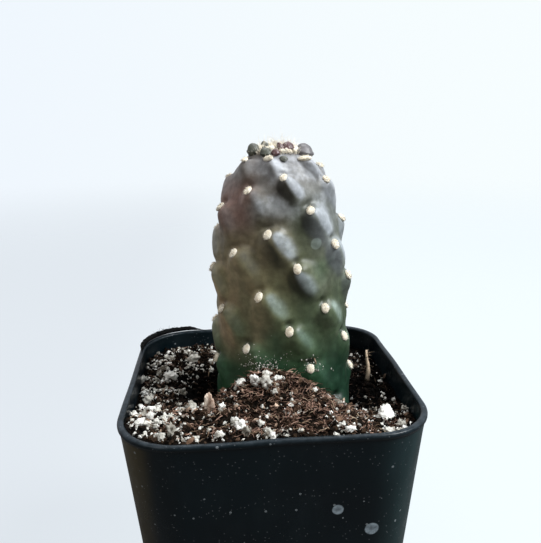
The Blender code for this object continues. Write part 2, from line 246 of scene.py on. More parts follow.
class Look(Nodes):
    """A material built from a few short node calls."""

    def __init__(self, name, roughness=0.5, shine=0.5):
        self.material = bpy.data.materials.new(name)
        self.material.use_nodes = True
        super().__init__(self.material.node_tree)
        self.shader = self.tree.nodes["Principled BSDF"]
        self.shader.inputs["Roughness"].default_value = roughness
        self.shader.inputs["Specular IOR Level"].default_value = shine
        self.place = self.node("ShaderNodeTexCoord").outputs["Object"]

    def mask(self, name):
        return self.node("ShaderNodeAttribute", attribute_name=name).outputs["Fac"]

    def noise(self, scale, detail=4.0, rough=0.55, stretch=None):
        place = self.place
        if stretch:
            place = self.made("ShaderNodeMapping", (("Vector", place), ("Scale", stretch)), "Vector")
        inputs = ("Vector", place), ("Scale", scale), ("Detail", detail), ("Roughness", rough)
        return self.made("ShaderNodeTexNoise", inputs, "Fac")

    def cells(self, scale, output="Distance"):
        return self.made("ShaderNodeTexVoronoi", (("Vector", self.place), ("Scale", scale)), output)

    def math(self, kind, a, b=0.0, clamp=False):
        return self.made("ShaderNodeMath", ((0, a), (1, b)), operation=kind, use_clamp=clamp)

    def times(self, *values):
        product = values[0]
        for value in values[1:]:
            product = self.math("MULTIPLY", product, value)
        return product

    def less(self, value):
        """What value leaves of 1."""
        return self.math("SUBTRACT", 1.0, value)

    def ramp(self, value, *stops):
        made = self.node("ShaderNodeValToRGB")
        band = made.color_ramp
        while len(band.elements) < len(stops):
            band.elements.new(0.5)
        for element, (place, colour) in zip(band.elements, stops):
            element.position = place
            element.color = (*colour, 1.0)
        self.feed(made.inputs["Fac"], value)
        return made.outputs["Color"]

    def axis(self, name):
        return self.made("ShaderNodeSeparateXYZ", ((0, self.place),), name)

    def spot(self, centre, radius, soft=0.25):
        """1 inside a ball round centre (millimetres), falling to 0 at its edge."""
        inputs = (0, self.place), (1, tuple(c * MM for c in centre))
        away = self.made("ShaderNodeVectorMath", inputs, "Value", operation="DISTANCE")
        return self.span(away, radius * MM, radius * (1 - soft) * MM)

    def bump(self, height, depth_mm, strength=1.0, under=None):
        inputs = [("Strength", strength), ("Distance", depth_mm * MM), ("Height", height)]
        if under is not None:
            inputs.append(("Normal", under))
        return self.made("ShaderNodeBump", inputs, "Normal")

    def deep(self, colour, top=-2.0, low=-7.5, share=0.08):
        """Darkens a colour of the mix downward: painted shade deeper in the pot."""
        amount = self.span(self.axis("Z"), (POT_HEIGHT + low) * MM, (POT_HEIGHT + top) * MM, share, 1.0)
        return self.mix(amount, (0.0, 0.0, 0.0), colour)

    def finish(self, colour=None, roughness=None, normal=None):
        for socket, value in (("Base Color", colour), ("Roughness", roughness), ("Normal", normal)):
            if value is not None:
                self.feed(self.shader.inputs[socket], value)
        return self.material


# ---- Stem shape ------------------------------------------------------------------------

STEM_TOP = 69.2
STEM_HALF_WIDTH = 20.2
STEM_TAPER = 0.05
STEM_DEPTH_SHARE = 0.78
STEM_PLACE = (5.2, 0.0)
STEM_LEAN = (-0.0207, -0.027)
DOME_START, DOME_FULLNESS, DOME_CLOSING = 20.0, 4.2, 0.42
CREST_RIGHT, CREST_DOWN = 0.58, 0.815  # which way the crest of a tubercle runs from its areole
TUBERCLE_HEIGHT = 2.5
TURN_START, TURN_STEP, TURN_DRIFT = 1.6, 260.68, -0.0029
RISE_START, RISE_STEP, RISE_GROWTH = 61.7, 1.294, 0.0063
FIRST_TUBERCLE, LAST_TUBERCLE = -3, 55
# How far an areole strays from the spiral: (degrees of turn, millimetres up)
WANDER = {
    -7: (6, -4.6), -4: (6, -1.2), -3: (0, -0.2), 0: (1.2, -0.6), 1: (-9, 0), 3: (0, 2.0), 4: (0, 1.4),
    8: (0, 1.8), 11: (-2.6, -0.3), 15: (3.0, 0), 18: (-3.3, 0.6), 22: (2.7, -1.2), 25: (-2.1, -0.9),
    29: (2.9, 0), 33: (4.4, 1.0), 36: (-3.7, 0), 37: (0, 1.8),
}
# Where the bloom and painted highlight beside an areole lie and how strong they are: (millimetres aside,
# strength)
BLOOM_AND_HIGHLIGHT = {
    0: (0.6, 1.0), 4: (0.8, 0.6), 7: (1.1, 1.0), 11: (1.6, 1.0), 14: (1.6, 0.8), 15: (2.2, 0.35),
    18: (-0.8, 0.8), 22: (2.2, 0.75), 25: (2.6, 0.8), 29: (1.8, 0.5), 33: (1.8, 0.35), 36: (1.8, 0.4),
}
STEM_COLUMNS, STEM_ROWS = 284, 334
# The rounded foot under the mix: (millimetres below the fine rows, share of their width)
STEM_FOOT, STEM_FOOT_END = ((6.0, 0.94), (12.0, 0.78), (16.0, 0.5), (18.0, 0.22)), 18.6
SOIL_REACH = -20.0  # the fine rows end this far below the rim, under the mix


def core_half_width(height):
    width = STEM_HALF_WIDTH - STEM_TAPER * height
    up = np.clip((height - DOME_START) / (STEM_TOP - DOME_START), 0.0, 1.0)
    return width * (1.0 - up**DOME_FULLNESS) ** DOME_CLOSING


def spiral(number):
    """(turn in radians, height above the rim) of one areole. Turn 0 faces the front."""
    extra_turn, extra_rise = WANDER.get(number, (0, 0))
    turn = TURN_START + TURN_STEP * number + TURN_DRIFT * number**2 + extra_turn
    height = RISE_START - RISE_STEP * number - RISE_GROWTH * number**2 + extra_rise
    return math.remainder(math.radians(turn), 2 * math.pi), height


def only(frames):
    """The one frame in frames, as vectors."""
    return tuple(Vector(v[0]) for v in frames)


class Stem:
    """The stem's skin, measured by turn and by the way down from the tip along the skin."""

    def __init__(self):
        fine = np.linspace(0.0, 1.0, 6001) ** 2
        self.heights = STEM_TOP - (STEM_TOP - SOIL_REACH) * fine
        widths = core_half_width(self.heights)
        steps = np.hypot(np.diff(self.heights), np.diff(widths) * 0.9)
        self.down = np.concatenate([[0.0], np.cumsum(steps)])
        self.length = self.down[-1]
        rng = np.random.default_rng(3)
        self.tubercles = []
        for number in [*range(FIRST_TUBERCLE, LAST_TUBERCLE + 1), -4, -7]:
            turn, height = spiral(number)
            vigour = rng.uniform(0.85, 1.12) if number >= FIRST_TUBERCLE else 1.0
            self.tubercles.append((number, turn, self.way_down(height), vigour))

    def way_down(self, height):
        return float(np.interp(-height, -self.heights, self.down))

    def height(self, down):
        return np.interp(down, self.down, self.heights)

    def core(self, turn, down):
        height = self.height(down)
        wide = core_half_width(height)
        x = STEM_PLACE[0] + STEM_LEAN[0] * height + wide * np.sin(turn)
        y = STEM_PLACE[1] + STEM_LEAN[1] * height - STEM_DEPTH_SHARE * wide * np.cos(turn)
        return np.stack(np.broadcast_arrays(x, y, height + POT_HEIGHT), axis=-1)

    def reliefs(self, turn, down):
        """How far the skin stands out, and masks: ridge, flank, pit and light. along follows a
        tubercle's crest and aside crosses it."""
        height = self.height(down)
        wide = core_half_width(height)
        bend = np.sqrt(np.cos(turn) ** 2 + (STEM_DEPTH_SHARE * np.sin(turn)) ** 2)
        shape = np.broadcast(turn, down).shape
        relief, flank, pits, light = (np.zeros(shape) for _ in range(4))
        for number, at_turn, at_down, vigour in self.tubercles:
            scale = float(np.clip(core_half_width(self.height(at_down)) / 17.0, 0.5, 1.0))
            round_by = np.remainder(turn - at_turn + np.pi, 2 * np.pi) - np.pi
            across = round_by * np.maximum(wide, 3.0) * bend / scale
            up = (at_down - down) / scale
            along = CREST_RIGHT * across - CREST_DOWN * up
            aside = CREST_DOWN * across + CREST_RIGHT * up
            face = smoothstep((along + 2.6 - aside**2 / 10.0) / 4.0)
            tail = 1.0 - 0.5 * smoothstep((along - 1.5) / 9.0) - 0.5 * smoothstep((along - 8.5) / 5.0)
            width = 3.9 - 0.04 * along
            nose = face * tail * np.exp(-((aside / width) ** 2))
            pit = np.exp(-((across / 1.3) ** 2) - ((up - 1.9) / 1.0) ** 2)
            seat = np.exp(-((across / 1.2) ** 2) - (up / 1.7) ** 2)
            low = 0.55 + 0.45 * float(smoothstep((self.height(at_down) - 2.0) / 30.0))
            pit = pit * (1.25 - 0.85 * low)
            relief += scale * (TUBERCLE_HEIGHT * vigour * low * nose - 1.3 * pit - 0.35 * seat)
            flank += nose * np.clip(aside / 4.0, -1, 1)
            pits = np.maximum(pits, pit)
            # Bloom and painted highlight on the upper right flank of a tubercle, where the light falls
            shine = smoothstep((along + 0.6) / 2.4) * (1.0 - smoothstep((along - 5.0) / 7.5))
            shift, strength = BLOOM_AND_HIGHLIGHT.get(number, (1.6, 0.45 + 1.6 * (vigour - 0.85)))
            spread = 0.55 + 0.45 * smoothstep(along / 5.0)
            shine = shine * np.exp(-(((aside - shift) / np.where(aside < shift, 1.6, 2.5) / spread) ** 2))
            light = np.maximum(light, shine * strength)
        ridge = np.clip(relief / TUBERCLE_HEIGHT, 0, 1)
        fade = smoothstep(down / 6.0)
        return relief * fade, ridge * fade, flank * fade, pits * fade, light * fade

    def skin(self, turn, down):
        step = 0.02
        here = self.core(turn, down)
        right = self.core(turn + step, down) - self.core(turn - step, down)
        below = self.core(turn, down + 0.2) - self.core(turn, np.maximum(down - 0.2, 0.0))
        normal = np.cross(below, right)
        normal /= np.linalg.norm(normal, axis=-1, keepdims=True) + 1e-12
        relief, *masks = self.reliefs(turn, down)
        return here + normal * relief[..., None], normal, masks

    def frames(self, turns, downs):
        """Points of the finished skin, with its right, up and outward directions."""
        a, b = 0.35 / np.maximum(core_half_width(self.height(downs)), 4.0), 0.35
        p, _, _ = self.skin(
            np.stack([turns, turns + a, turns - a, turns, turns]),
            np.stack([downs, downs, downs, downs - b, downs + b]),
        )
        right = p[1] - p[2]
        right /= np.linalg.norm(right, axis=-1, keepdims=True)
        normal = np.cross(right, p[3] - p[4])
        normal /= np.linalg.norm(normal, axis=-1, keepdims=True)
        return p[0], right, np.cross(normal, right), normal

    def areole_frame(self, number):
        turn, height = spiral(number)
        return only(self.frames(np.array([turn]), np.array([self.way_down(height)])))


stem = Stem()
SHOWN = [-7, -4] + list(range(-3, 41))
FLAT_PADS = (-7, -4, -3)  # these lie flat on the shoulder of the crown


def make_stem(material):
    turns = np.linspace(-np.pi, np.pi, STEM_COLUMNS, endpoint=False)
    downs = np.linspace(0.0, stem.length, STEM_ROWS + 1)[1:]
    grid_turn, grid_down = np.meshgrid(turns, downs)
    points, normals, (ridge, flank, pits, light) = stem.skin(grid_turn, grid_down)
    flat = points.reshape(-1, 3)
    wobble = np.array([noise.noise(Vector(p) * 0.16) for p in flat])
    grain = np.array([noise.noise(Vector(p) * 0.55 + Vector((9, 4, 1))) for p in flat])
    flat = flat + normals.reshape(-1, 3) * (0.30 * wobble + 0.10 * grain)[:, None]
    top = flat[:STEM_COLUMNS].mean(axis=0) + [0, 0, 0.1]
    centre = flat[-STEM_COLUMNS:].mean(axis=0)
    rings = [flat.reshape(STEM_ROWS, STEM_COLUMNS, 3)]
    for drop, share in STEM_FOOT:
        rings.append([(flat[-STEM_COLUMNS:] - centre) * [share, share, 0.1] + centre - [0, 0, drop]])
    points, tris, quads = capped(np.concatenate(rings), [top, centre - [0, 0, STEM_FOOT_END]], flip=True)
    extra = len(points) - len(flat)
    masks = {
        name: np.append(values.ravel(), np.full(extra, below)) for name, values, below in (
            ("ridge", ridge, 0.0), ("pit", pits, 0.0), ("light", light, 0.0),
            ("flank", flank * 0.5 + 0.5, 0.5), ("turn", np.sin(grid_turn) * 0.5 + 0.5, 0.5),
        )
    }
    new_piece("stem_skin", points, (quads, tris), material, ("stem",), masks=masks)


def skin_spot(number, right, up):
    """A point some millimetres right of and above an areole, in the plane that touches the skin there."""
    place, across, along, _ = stem.areole_frame(number)
    return tuple(place + across * right + along * up)


def stem_look():
    look = Look("stem skin", 0.42, 0.38)
    ridge, flank, pit, turn, light = (look.mask(m) for m in ("ridge", "flank", "pit", "turn", "light"))
    height = look.span(look.axis("Z"), (POT_HEIGHT - 8) * MM, (POT_HEIGHT + 70) * MM, smooth=False)

    wander = look.math("SUBTRACT", look.noise(75, 3), 0.5)
    level = look.math("ADD", height, look.math("MULTIPLY", wander, 0.32))
    flesh = look.ramp(
        level, (0.0, (0.014, 0.055, 0.028)), (0.2, (0.030, 0.090, 0.040)), (0.34, (0.100, 0.140, 0.070)),
        (0.55, (0.220, 0.205, 0.108)), (0.74, (0.145, 0.128, 0.088)), (1.0, (0.140, 0.122, 0.112)),
    )
    dim = look.times(look.span(turn, 0.60, 0.92), look.span(height, 0.36, 0.16))
    flesh = look.mix(look.times(dim, 0.8), flesh, (0.008, 0.028, 0.016))
    # The right half is a deeper, cooler green between its ridges.
    middle = look.times(look.span(height, 0.92, 0.75), look.span(height, 0.14, 0.36))
    deeper = look.times(look.span(turn, 0.46, 0.66), middle, 0.62)
    flesh = look.mix(deeper, flesh, (0.042, 0.068, 0.034))
    # Painted shade: the valleys between the ridges and the lower left flank of each ridge are darkened, and
    # the ridge crests lightened a little.
    valley = look.span(ridge, 0.0, 0.4, 0.78, 1.06)
    valley = look.math("MAXIMUM", valley, look.span(height, 0.35, 0.1))
    shade = look.times(look.span(flank, 0.485, 0.36), look.span(height, 0.25, 0.5))
    shade = look.times(shade, look.span(turn, 0.26, 0.46))
    valley = look.times(valley, look.less(look.times(shade, 0.74)))
    flesh = look.mix(1.0, flesh, look.mix(valley, (0.0, 0.0, 0.0), (1.0, 1.0, 1.0)), "MULTIPLY")
    # The left side is sunburnt: maroon high up, tan lower down. The tan is partly a painted warm reflection,
    # strongest on the left-facing flanks.
    maroon = look.times(look.span(height, 0.66, 0.76), look.span(height, 0.93, 0.82))
    maroon = look.times(maroon, look.span(turn, 0.34, 0.14), 0.75)
    flesh = look.mix(maroon, flesh, (0.27, 0.155, 0.130))
    tan_and_warm_reflection = look.times(look.span(height, 0.16, 0.34), look.span(height, 0.76, 0.56))
    tan_and_warm_reflection = look.times(tan_and_warm_reflection, look.span(turn, 0.44, 0.18), look.span(flank, 0.62, 0.44, 0.35, 1.0))
    streaks = look.span(look.noise(110, 3, 0.5, stretch=(1, 1, 0.35)), 0.32, 0.58, 0.35, 1.0)
    flesh = look.mix(look.times(tan_and_warm_reflection, streaks, 0.8), flesh, (0.42, 0.30, 0.18))
    green = look.spot(skin_spot(14, -4.2, -7.5), 6.5, 0.8)
    flesh = look.mix(look.times(green, 0.75), flesh, (0.045, 0.115, 0.045))
    # The waxy bloom lies thickest on the upper right of the ridges and is rubbed off below. Part of it is
    # painted highlight: on the upper right flanks, the right side, the top that faces the sky and a thin line
    # down the left edge.
    wiped = look.span(look.noise(150, 5, 0.6), 0.25, 0.6, 0.55, 1.1)
    side = look.times(look.span(light, 0.08, 0.75, 0.0, 0.95), look.span(height, 0.02, 0.42, 0.25, 1.0))
    side = look.times(side, wiped, look.span(turn, 0.08, 0.5, 0.22, 1.0))
    right = look.times(look.span(turn, 0.60, 0.95), look.span(height, 0.34, 0.72))
    right = look.times(right, look.span(ridge, 0.0, 0.3, 0.3, 1.0), 0.62)
    patchy = look.span(look.noise(105, 4, 0.5), 0.40, 0.60, 0.12, 1.0)
    top = look.times(look.span(height, 0.68, 0.86, 0.0, 0.72), patchy, look.span(turn, 0.12, 0.38, 0.15, 1.0))
    top = look.times(top, look.less(look.times(shade, 0.95)))
    left = look.times(look.span(turn, 0.05, 0.0), look.span(height, 0.3, 0.5), 0.05)
    bloom_and_highlight = look.math("ADD", look.math("ADD", side, right), look.math("ADD", top, left), clamp=True)
    bloom_and_highlight = look.times(bloom_and_highlight, look.less(look.times(green, 0.7)))
    # The pale tone of the bloom and painted highlight, lighter higher up
    dust_and_sheen = look.ramp(
        height, (0.0, (0.040, 0.12, 0.080)), (0.25, (0.12, 0.21, 0.15)), (0.42, (0.29, 0.36, 0.31)),
        (0.58, (0.36, 0.40, 0.42)), (1.0, (0.40, 0.41, 0.44)),
    )
    colour = look.mix(bloom_and_highlight, flesh, dust_and_sheen)
    # A bare valley beside the top areole and a dusty swelling lower down, both faint
    bare = look.spot(skin_spot(0, 5.6, 3.4), 4.2, 0.8)
    colour = look.mix(look.times(bare, 0.75), colour, (0.060, 0.052, 0.038))
    haze = look.spot(skin_spot(18, 1.8, -9.6), 5.2, 0.8)
    colour = look.mix(look.times(haze, 0.6), colour, (0.21, 0.28, 0.225))
    # Two pale rounds that dried drops have left
    for number, across, up, radius, amount in ((14, -1.8, -4.6, 2.2, 0.45), (14, -6.0, 1.2, 1.9, 0.28)):
        mark = look.spot(skin_spot(number, across, up), radius, 0.2)
        colour = look.mix(look.times(mark, amount), colour, (0.45, 0.55, 0.50))
    mottle = look.span(look.noise(420, 6, 0.6), 0.35, 0.68, 0.78, 1.12)
    colour = look.mix(1.0, colour, look.mix(1.0, (1.0, 1.0, 1.0), mottle, "MULTIPLY"), "MULTIPLY")
    # Painted shade in the pit above each areole, darker low on the stem
    pit = look.times(pit, look.span(height, 0.35, 0.6, 0.85, 0.45))
    colour = look.mix(pit, colour, (0.010, 0.011, 0.009))
    rough = look.span(look.noise(260, 4), 0.3, 0.7, 0.36, 0.50)
    fine = look.bump(look.noise(1500, 5, 0.6), 0.05, 0.5)
    normal = look.bump(look.noise(330, 4, 0.5), 0.22, 0.6, fine)
    return look.finish(colour, rough, normal)


# ---- Woolly areoles --------------------------------------------------------------------

# Half width, half height and half thickness of a pad, and of one on the crown's shoulder
PAD_SIZE, FLAT_PAD_SIZE = (1.15, 1.5, 0.65), (1.9, 0.95, 0.7)
PAD_HAIRS = 130


def pad(centre, right, up, normal, wide, tall, thick, rng, soft=0.12):
    """A felted pad: a low dome with a slightly rough outline."""
    columns, rows = 22, 9
    offset = Vector(rng.random(3) * 40)
    rings = []
    for row in range(1, rows):
        slope = math.pi * row / rows
        for column in range(columns):
            angle = 2 * math.pi * column / columns
            out = math.sin(slope)
            p = Vector((out * math.cos(angle), out * math.sin(angle), -math.cos(slope)))
            lump = 1 + soft * noise.noise(p * 2.1 + offset) + 0.6 * soft * noise.noise(p * 6 + offset)
            p = Vector((p.x * wide * lump, p.y * tall * lump, p.z * thick * lump))
            rings.append(centre + right * p.x + up * p.y + normal * p.z)
    ends = [centre - normal * thick, centre + normal * thick]
    return capped(np.reshape(rings, (rows - 1, columns, 3)), ends)


def hair(root, aim, length, thick, rng, bend=0.35, steps=4):
    share = np.linspace(0, 1, steps)[:, None]
    sway = rng.normal(0, bend * length, 3)
    path = np.asarray(root) + np.asarray(aim) * length * share + sway * share**2
    return tube(path, thick * (1 - 0.75 * share[:, 0]), 3)


def make_areole(count, number, material, node):
    rng = np.random.default_rng(100 + count)
    place, right, up, normal = stem.areole_frame(number)
    scale = float(np.clip(core_half_width(spiral(number)[1]) / 16.0, 0.8, 1.0))
    wide, tall, thick = FLAT_PAD_SIZE
    if number not in FLAT_PADS:
        wide, tall, thick = (size * scale for size in PAD_SIZE)
        tall *= rng.uniform(0.92, 1.08)
    level = Vector((0, 0, 1)).cross(normal).normalized()
    right = (right * 0.35 + level * 0.65).normalized()
    up = normal.cross(right).normalized()
    tilt = rng.uniform(-0.12, 0.12)
    side = right * math.cos(tilt) + up * math.sin(tilt)
    rise = up * math.cos(tilt) - right * math.sin(tilt)
    gathered = Heap()
    centre = place + normal * (thick * 0.25)
    gathered.add(*pad(centre, side, rise, normal, wide, tall, thick, rng), shade=0.5)
    for _ in range(PAD_HAIRS):
        a, r = rng.uniform(0, 2 * math.pi), math.sqrt(rng.random())
        x, y = math.cos(a) * r, math.sin(a) * r
        lift = math.sqrt(max(0.0, 1 - 0.95 * r * r))
        root = centre + side * (x * wide * 0.95) + rise * (y * tall * 0.95) + normal * (thick * lift * 0.9)
        aim = (normal + side * (x * 1.1) + rise * (y * 1.0 + 0.25)).normalized()
        aim += Vector(rng.normal(0, 0.35, 3))
        length, thickness = rng.uniform(0.15, 0.42), rng.uniform(0.045, 0.075)
        gathered.add(*hair(root, aim.normalized(), length, thickness, rng), shade=rng.uniform(0.3, 1.0))
    return gathered.piece(f"areole_wool_{count:02d}", material, "areole_wool", (node,) if node else ())


def areole_nodes():
    """The CAD pad that stands for each areole, by the areole's number."""
    found = {}
    places = {number: stem.areole_frame(number)[0] for number in SHOWN}
    for name in sorted(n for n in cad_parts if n.startswith("areole_")):
        low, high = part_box(name)
        middle = (low + high) / 2 / MM
        away = [((place - middle).length, number) for number, place in places.items()]
        nearest = min(away)[1]
        if nearest in found:
            raise ValueError(f"{name} and {found[nearest]} are both nearest to areole {nearest}")
        found[nearest] = name
    return found


def wool_look():
    look = Look("areole wool", 0.9)
    shade = look.mask("shade")
    tone = look.ramp(look.noise(900, 5, 0.65), (0.3, (0.78, 0.66, 0.49)), (0.5, (0.90, 0.82, 0.67)),
                     (0.7, (0.97, 0.92, 0.82)))
    colour = look.mix(look.span(shade, 0.2, 1.0, 0.0, 0.35), tone, (0.98, 0.94, 0.84))
    look.shader.inputs["Sheen Weight"].default_value = 0.25
    return look.finish(colour, None, look.bump(look.noise(2600, 4, 0.7), 0.12, 0.9))


# ---- Crown -----------------------------------------------------------------------------

CROWN_PADS, CROWN_HAIRS, CROWN_WOOL_RADIUS = 26, 2800, 7.6


def crown_places(turns_degrees, outs):
    """Frames of the skin at turns and distances out from the middle of the crown."""
    widths = core_half_width(stem.heights)
    upper = len(widths) // 2
    downs = np.interp(outs, widths[:upper], stem.down[:upper])
    return stem.frames(np.radians(turns_degrees), downs)


def crown_place(turn_degrees, out):
    return only(crown_places(np.array([turn_degrees]), np.array([out])))


def make_crown_leaf(name, spot, radius, length, lean, material, node=None, seed=0):
    """A blunt fleshy cone, swollen at its foot."""
    place, _, _, normal = crown_place(*spot)
    axis = (Vector((0, 0, 1)) * (1 - lean) + normal * lean).normalized()
    across = axis.orthogonal().normalized()
    beside = axis.cross(across)
    columns, rings = 28, []
    profile = [(-0.35, 0.86), (-0.15, 0.95)]
    for t in np.linspace(0, 1, 17)[:-1]:
        profile.append((t, (1.0 + 0.12 * math.sin(math.pi * min(1, t * 2.2))) * (1 - t**2.3) ** 0.55))
    rng = np.random.default_rng(seed)
    offset = Vector(rng.random(3) * 30)
    drift = Vector(rng.normal(0, 0.12, 3)) * length
    for along, wide in profile:
        for column in range(columns):
            angle = 2 * math.pi * column / columns
            spread = across * math.cos(angle) + beside * math.sin(angle)
            p = place + axis * (along * length) + spread * (wide * radius) + drift * max(along, 0) ** 2
            rings.append(p + spread * (0.05 * radius * noise.noise(p * 0.9 + offset)))
    ends = [place - axis * (0.4 * length), place + axis * length + drift]
    points, tris, quads = capped(np.reshape(rings, (len(profile), columns, 3)), ends)
    new_piece(name, points, (quads, tris), material, (node,) if node else ())


def leaf_look(name, tint):
    look = Look(name, 0.38)
    tone = look.ramp(look.noise(300, 4), (0.3, tuple(c * 0.55 for c in tint)), (0.7, tint))
    dust_and_sheen = look.span(look.noise(900, 5, 0.65), 0.5, 0.75, 0.0, 0.35)
    colour = look.mix(dust_and_sheen, tone, (0.32, 0.30, 0.30))
    return look.finish(colour, look.span(look.noise(500, 3), 0.3, 0.7, 0.3, 0.5),
                       look.bump(look.noise(1200, 4), 0.08, 0.6))


def make_crown(wool, look_olive, look_red, look_pale):
    leaves = (
        # node, (turn, out), radius, length, lean, look
        ("crown_leaf_01", (-76, 6.5), 2.00, 2.5, 0.25, look_olive),
        ("crown_leaf_02", (-29, 6.8), 1.65, 1.5, 0.45, look_olive),
        ("crown_leaf_03", (-6, 6.8), 1.25, 1.3, 0.45, look_red),
        ("crown_leaf_04", (8, 9.0), 1.05, 0.7, 0.80, look_olive),
        ("crown_leaf_05", (38, 4.6), 1.95, 2.1, 0.20, look_red),
        ("crown_leaf_06", (78, 7.7), 2.70, 2.6, 0.35, look_pale),
    )
    for n, (node, spot, radius, length, lean, material) in enumerate(leaves, start=1):
        make_crown_leaf(f"young_leaf_{n:02d}", spot, radius, length, lean, material, node, n)
    small = (
        (-120, 6.8), (150, 6.4), (112, 8.0), (-160, 7.2), (10, 4.6), (-50, 4.0), (180, 3.0), (-100, 3.4),
        (80, 3.2),
    )
    for n, spot in enumerate(small, start=1):
        make_crown_leaf(f"young_leaf_small_{n:02d}", spot, 1.1, 1.9, 0.3,
                        look_red if n % 2 else look_olive, None, 20 + n)
    rng = np.random.default_rng(12)
    gathered = Heap()
    for _ in range(CROWN_PADS):
        turn, out = rng.uniform(0, 360), 6.4 * math.sqrt(rng.random())
        place, right, up, normal = crown_place(turn, max(out, 0.6))
        size = rng.uniform(0.6, 1.1)
        middle = place + normal * 0.4
        gathered.add(*pad(middle, right, up, normal, size, size, size * 0.8, rng, 0.3), shade=0.4)
    outs = CROWN_WOOL_RADIUS * np.sqrt(rng.random(CROWN_HAIRS))
    places, _, _, normals = crown_places(rng.uniform(0, 360, CROWN_HAIRS), np.maximum(outs, 0.6))
    for place, normal, out in zip(places, normals, outs):
        aim = Vector((0, 0, 1)) + Vector(normal) * 0.5 + Vector(rng.normal(0, 0.5, 3))
        long = rng.random() < 0.14 and out < 5
        length = rng.uniform(1.8, 3.2) if long else rng.uniform(0.6, 1.8)
        points, tris, quads = hair(place, aim.normalized(), length, rng.uniform(0.035, 0.07), rng, 0.3, 5)
        gathered.add(points, tris, quads, rng.uniform(0.2, 1.0))
    gathered.piece("crown_wool_tuft", wool, "areole_wool", ("crown_wool",))


# ---- Pot -------------------------------------------------------------------------------

POT_DRAFT = 0.0976
CORNER_SHARE = 0.4
WALL, RIM_WIDTH, RIM_DEPTH, LIP = 1.0, 1.6, 1.5, 0.3
FOOT_WIDTH, FOOT_HEIGHT, FLOOR = 3.2, 1.8, 1.2
CORNER_STEPS, SIDE_STEPS = 26, 22
HOLE_RADIUS, HOLE_OUT = 4.4, 20.0


def rounded_square(half, corner_steps=CORNER_STEPS, side_steps=SIDE_STEPS):
    radius = half * CORNER_SHARE
    flat = half - radius
    points = []
    for quarter in range(4):
        start = math.pi / 2 * quarter
        c, s = math.cos(start), math.sin(start)
        cx, cy = flat * c - flat * s, flat * s + flat * c
        for step in range(corner_steps + 1):
            angle = start + math.pi / 2 * step / corner_steps
            points.append((cx + radius * math.cos(angle), cy + radius * math.sin(angle)))
        last = points[-1]
        for step in range(1, side_steps):
            t = 2 * flat * step / side_steps
            points.append((last[0] - c * t, last[1] - s * t))
    return np.array(points)


def wall_half(height):
    return POT_WIDTH / 2 - LIP - POT_DRAFT * (POT_HEIGHT - height)


def inner_half(height):
    return np.minimum(wall_half(height) - WALL, POT_WIDTH / 2 - RIM_WIDTH)


def make_pot(material):
    top, rim_low = POT_HEIGHT, POT_HEIGHT - RIM_DEPTH
    outer, floor_low, floor_high = POT_WIDTH / 2, FOOT_HEIGHT, FOOT_HEIGHT + FLOOR
    foot = wall_half(0)
    profile = [(s * (foot - FOOT_WIDTH), floor_low) for s in (0.05, 0.35, 0.7, 0.97)]
    profile += [(foot - FOOT_WIDTH, floor_low - 0.15), (foot - FOOT_WIDTH + 0.05, 0.25)]
    profile += [(foot - FOOT_WIDTH + 0.3, 0.0), (foot - 0.9, 0.0), (foot - 0.35, 0.12)]
    profile += [(wall_half(0.6), 0.6)]
    profile += [(wall_half(h), h) for h in np.linspace(2.0, rim_low - 0.4, 44)]
    profile += [(wall_half(rim_low), rim_low), (wall_half(rim_low) + 0.1, rim_low + 0.06)]
    profile += [(outer - 0.1, rim_low + 0.2), (outer - 0.03, rim_low + 0.35), (outer, rim_low + 0.55)]
    profile += [(outer, top - 0.6), (outer - 0.05, top - 0.38), (outer - 0.2, top - 0.14)]
    profile += [(outer - 0.42, top - 0.03), (outer - 0.7, top), (outer - 1.05, top - 0.02)]
    inner = inner_half(top)
    profile += [(outer - 1.35, top - 0.15), (inner, top - 0.45), (inner - 0.02, top - 1.0)]
    profile += [(inner_half(h), h) for h in np.linspace(top - 2.0, floor_high + 1.2, 26)]
    profile += [(inner_half(floor_high) - 0.4, floor_high + 0.35), (inner_half(floor_high) - 1.2, floor_high)]
    profile += [(s * inner_half(floor_high), floor_high) for s in (0.7, 0.35, 0.05)]
    rings = []
    for half, height in profile:
        loop = rounded_square(half)
        # Thin walls are never quite true: they bow a little and the rim rolls.
        near_top = float(smoothstep((height - 30) / 52))
        angle = np.arctan2(loop[:, 1], loop[:, 0])
        bow = near_top * (0.10 * np.sin(3 * angle + 0.6) + 0.07 * np.sin(7 * angle + 2.0))
        length = np.linalg.norm(loop, axis=1)
        loop = loop * (1 + (bow - 0.17 * near_top) / length)[:, None]
        roll = near_top**3 * (0.16 * np.sin(4 * angle + 1.0) + 0.08 * np.sin(11 * angle) - 0.16)
        rings.append(np.column_stack([loop, height + roll * (height > rim_low - 4)]))
    points, tris, quads = capped(rings, [(0, 0, floor_low), (0, 0, floor_high)])
    piece = new_piece("pot_shell", points, (quads, tris), material, ("pot",))
    drill = bmesh.new()
    radius, out = HOLE_RADIUS * MM, HOLE_OUT * MM
    for x, y in ((0, 0), (-out, -out), (-out, out), (out, -out), (out, out)):
        bmesh.ops.create_cone(
            drill, cap_ends=True, segments=40, radius1=radius, radius2=radius, depth=10 * MM,
            matrix=Matrix.Translation((x, y, (FOOT_HEIGHT + FLOOR / 2) * MM)),
        )
    mesh = bpy.data.meshes.new("drill")
    drill.to_mesh(mesh)
    drill.free()
    cutter = add_object("drill", mesh)
    cut = piece.modifiers.new("holes", "BOOLEAN")
    cut.operation, cut.solver, cut.object = "DIFFERENCE", "EXACT", cutter
    with bpy.context.temp_override(object=piece, active_object=piece, selected_objects=[piece]):
        bpy.ops.object.modifier_apply(modifier=cut.name)
    bpy.data.objects.remove(cutter)


